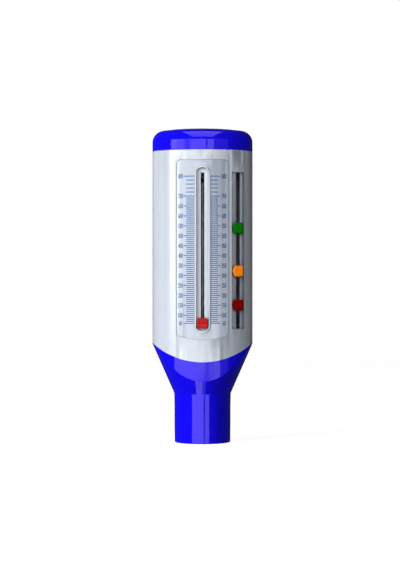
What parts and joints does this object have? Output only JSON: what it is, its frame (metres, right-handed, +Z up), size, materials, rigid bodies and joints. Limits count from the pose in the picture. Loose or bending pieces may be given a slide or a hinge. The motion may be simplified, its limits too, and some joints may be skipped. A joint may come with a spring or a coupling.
{
  "type": "peak flow meter",
  "caption": "Oval hand-held breath meter with a round mouthpiece, a piston and pointer on a guide rod, a linear scale and sliding zone markers.",
  "frame": {"origin": "centre of the mouthpiece rim, on the airway's axis", "axes": "+Z up the long axis from the mouthpiece to the cap, +X to the right as seen from the scale side, -Y out of the front face with the scale"},
  "size_m": [0.05, 0.0342, 0.1562],
  "materials": {
    "white_plastic": "satin",
    "blue_plastic": "glossy",
    "scale_sheet": "glossy",
    "inner_plastic": "satin",
    "piston_plastic": "satin",
    "bush_plastic": "satin",
    "steel": "polished",
    "rubber": "matte",
    "red_plastic": "glossy",
    "green_plastic": "glossy",
    "amber_plastic": "glossy",
    "dark_red_plastic": "glossy"
  },
  "bodies": {
    "housing": {"main_casing": "white_plastic", "top_cap": "blue_plastic", "mouthpiece_funnel": "blue_plastic", "scale_plate": "scale_sheet", "flow_tube": "inner_plastic", "rod_spider": "inner_plastic", "rod_top_plate": "inner_plastic", "guide_rod": "steel", "return_spring": "steel", "spring_collar": "inner_plastic", "rest_washer": "rubber", "top_buffer": "rubber"},
    "piston_body": {"piston": "piston_plastic", "piston_bush": "bush_plastic"},
    "pointer_body": {"pointer": "red_plastic", "pointer_slider": "bush_plastic"},
    "green_marker_body": {"green_marker": "green_plastic", "green_clip": "bush_plastic"},
    "amber_marker_body": {"amber_marker": "amber_plastic", "amber_clip": "bush_plastic"},
    "red_marker_body": {"red_marker": "dark_red_plastic", "red_clip": "bush_plastic"}
  },
  "joints": [
    {"name": "piston_slide", "type": "slide", "parent": "housing", "child": "piston_body", "axis": [0, 0, 1], "range_m": [0, 0.0722], "stiffness_N_per_m": 6, "springref_m": -0.02, "deforming": ["return_spring"]},
    {"name": "pointer_slide", "type": "slide", "parent": "housing", "child": "pointer_body", "axis": [0, 0, 1], "range_m": [0, 0.0722]},
    {"name": "green_marker_slide", "type": "slide", "parent": "housing", "child": "green_marker_body", "axis": [0, 0, 1], "range_m": [-0.0078, 0.0249]},
    {"name": "amber_marker_slide", "type": "slide", "parent": "housing", "child": "amber_marker_body", "axis": [0, 0, 1], "range_m": [-0.0055, 0.0078]},
    {"name": "red_marker_slide", "type": "slide", "parent": "housing", "child": "red_marker_body", "axis": [0, 0, 1], "range_m": [-0.009, 0.0055]}
  ],
  "couplings": [
    {"joint": "pointer_slide", "follows": "piston_slide", "ratio": 1}
  ]
}
